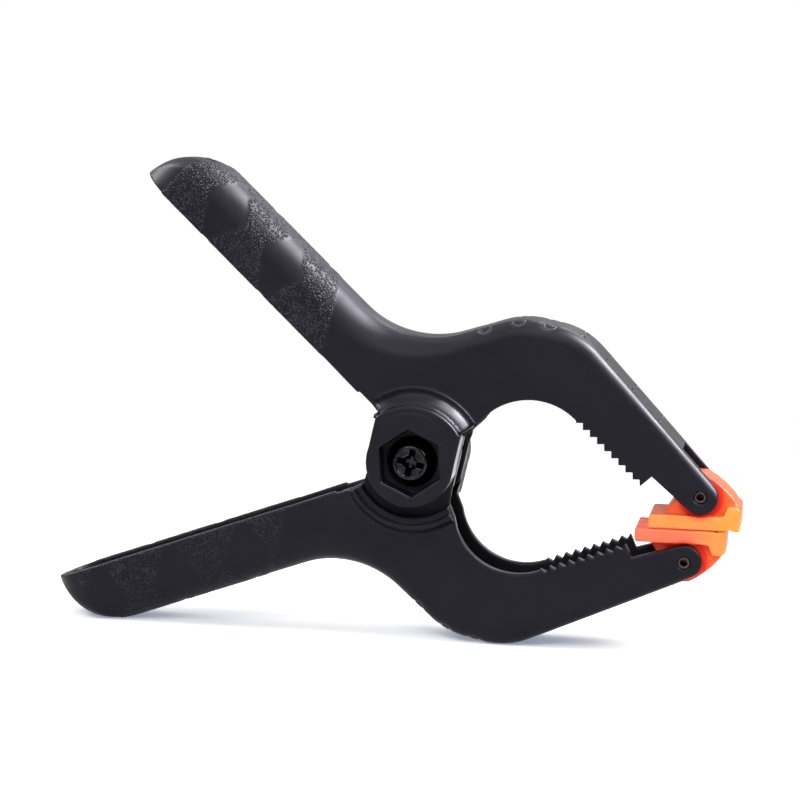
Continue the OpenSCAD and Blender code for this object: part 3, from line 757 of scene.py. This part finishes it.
white = bpy.data.materials.new("white_sweep")
white.use_nodes = True
tree = Tree(white)
nodes, links = white.node_tree.nodes, white.node_tree.links
nodes.remove(nodes["Principled BSDF"])
path = nodes.new("ShaderNodeLightPath")
seen = tree.math("MAXIMUM", path.outputs["Is Camera Ray"], path.outputs["Is Glossy Ray"])
seen = tree.math("MAXIMUM", seen, path.outputs["Is Transmission Ray"])
plain = tree.node("ShaderNodeBsdfDiffuse", {"Color": (0.78, 0.78, 0.80, 1)})
lit = tree.node("ShaderNodeBsdfDiffuse", {"Color": (0.97, 0.96, 0.86, 1)})
glow = tree.node("ShaderNodeEmission", {"Color": (0.70, 0.78, 1.0, 1), "Strength": 0.345})
shown = tree.node("ShaderNodeAddShader", {0: lit.outputs[0], 1: glow.outputs[0]})
far_white = tree.node("ShaderNodeEmission", {"Color": (1, 1, 1, 1), "Strength": 1.0})
reach = tree.node("ShaderNodeVectorMath", {0: tree.coord}, operation="LENGTH").outputs["Value"]
fade = tree.spread(reach, 0.13, 0.26, 0, 1)
shown = tree.node("ShaderNodeMixShader", {0: fade, 1: shown.outputs[0], 2: far_white.outputs[0]})
both_ways = tree.node("ShaderNodeMixShader", {0: seen, 1: plain.outputs[0], 2: shown.outputs[0]})
links.new(both_ways.outputs[0], nodes["Material Output"].inputs["Surface"])

HALF_FLOOR = 3.0
corners = [(a * HALF_FLOOR, b * HALF_FLOOR, 0) for a, b in ((-1, -1), (1, -1), (1, 1), (-1, 1))]
mesh = bpy.data.meshes.new("floor")
mesh.from_pydata(corners, [], [(0, 1, 2, 3)])
mesh.materials.append(white)
floor = bpy.data.objects.new("floor", mesh)
floor.location.z = -0.00002                  # clear of the clamp's lowest points
bpy.context.scene.collection.objects.link(floor)

world = bpy.data.worlds.new("studio")
bpy.context.scene.world = world
world.use_nodes = True
sky = Tree(world)
path = sky.node("ShaderNodeLightPath")
direct = sky.math("MAXIMUM", path.outputs["Is Camera Ray"], path.outputs["Is Transmission Ray"])
split = sky.node("ShaderNodeSeparateXYZ", {0: sky.node("ShaderNodeTexCoord").outputs["Generated"]})
away = sky.spread(split.outputs["Y"], -0.4, 0.6, 0.08, 0.54)
studio = sky.math("MULTIPLY_ADD", split.outputs["Z"], 0.25, away)
strength = sky.node("ShaderNodeMix", {0: direct, 2: studio, 3: 1.0}, data_type="FLOAT").outputs[0]
sky.link(strength, world.node_tree.nodes["Background"].inputs["Strength"])
world.node_tree.nodes["Background"].inputs["Color"].default_value = (1, 1, 1, 1)

LAVENDER = (0.93, 0.91, 1.0)


LIGHT_AIM = (0, 0, 0.03)


def softbox(name, place, size, power, colour=(1, 1, 1)):
    data = bpy.data.lights.new(name, "AREA")
    data.shape, data.size, data.size_y = "RECTANGLE", size[0], size[1]
    data.energy, data.color = power, colour
    obj = bpy.data.objects.new(name, data)
    obj.location = place
    obj.rotation_mode = "QUATERNION"
    obj.rotation_quaternion = (Vector(LIGHT_AIM) - Vector(place)).to_track_quat("-Z", "Y")
    obj.visible_camera = False
    bpy.context.scene.collection.objects.link(obj)
    return obj


softbox("overhead", (0.0, 0.15, 0.62), (0.6, 0.4), 1.2, LAVENDER)
softbox("right_top", (0.46, -0.05, 0.46), (0.24, 0.24), 3.0, LAVENDER)
softbox("left_top", (-0.42, -0.16, 0.44), (0.16, 0.16), 1.1, LAVENDER)
softbox("front_top", (-0.10, -0.62, 0.46), (0.5, 0.4), 3.9)
# four panels that only draw highlights
for name, place, size, power in (("right_gloss", (0.36, 0.0, 0.44), (0.42, 0.40), 15.0),
                                 ("back_gloss", (0.22, 0.50, 0.42), (0.42, 0.30), 1.7),
                                 ("left_gloss", (-0.38, 0.10, 0.34), (0.22, 0.22), 3.8),
                                 ("right_core", (0.40, 0.05, 0.42), (0.20, 0.18), 10.0)):
    softbox(name, place, size, power, LAVENDER).visible_diffuse = False

# the camera looks along the same line as in the photograph, closer in
VIEW_FROM = np.array([48.27, -450.31, 68.41])
RIGHT = np.array([0.96370922, 0.13802306, 0.2285042])
DOWN = np.array([0.24526859, -0.11985279, -0.962018])
AIM = -3.0 * RIGHT - 8.45 * DOWN
PHOTO_FOCAL_PX, CLOSER, PICTURE_PX, SENSOR = 1222.6, 2.43, 800, 36.0
forward = AIM - VIEW_FROM
forward /= np.linalg.norm(forward)
right = RIGHT - forward * (RIGHT @ forward)
right /= np.linalg.norm(right)
above = np.cross(right, forward)
camera = bpy.data.objects.new("camera", bpy.data.cameras.new("camera"))
camera.data.sensor_width = SENSOR
camera.data.lens = PHOTO_FOCAL_PX * CLOSER / PICTURE_PX * SENSOR
camera.data.clip_start, camera.data.clip_end = 0.01, 20
pose = np.eye(4)
pose[:3, :3] = TURN @ np.stack([right, above, -forward], axis=1)
pose[:3, 3] = stand(VIEW_FROM)
camera.matrix_world = Matrix(pose.tolist())
bpy.context.scene.collection.objects.link(camera)
bpy.context.scene.camera = camera
bpy.context.scene.view_settings.view_transform = "Standard"
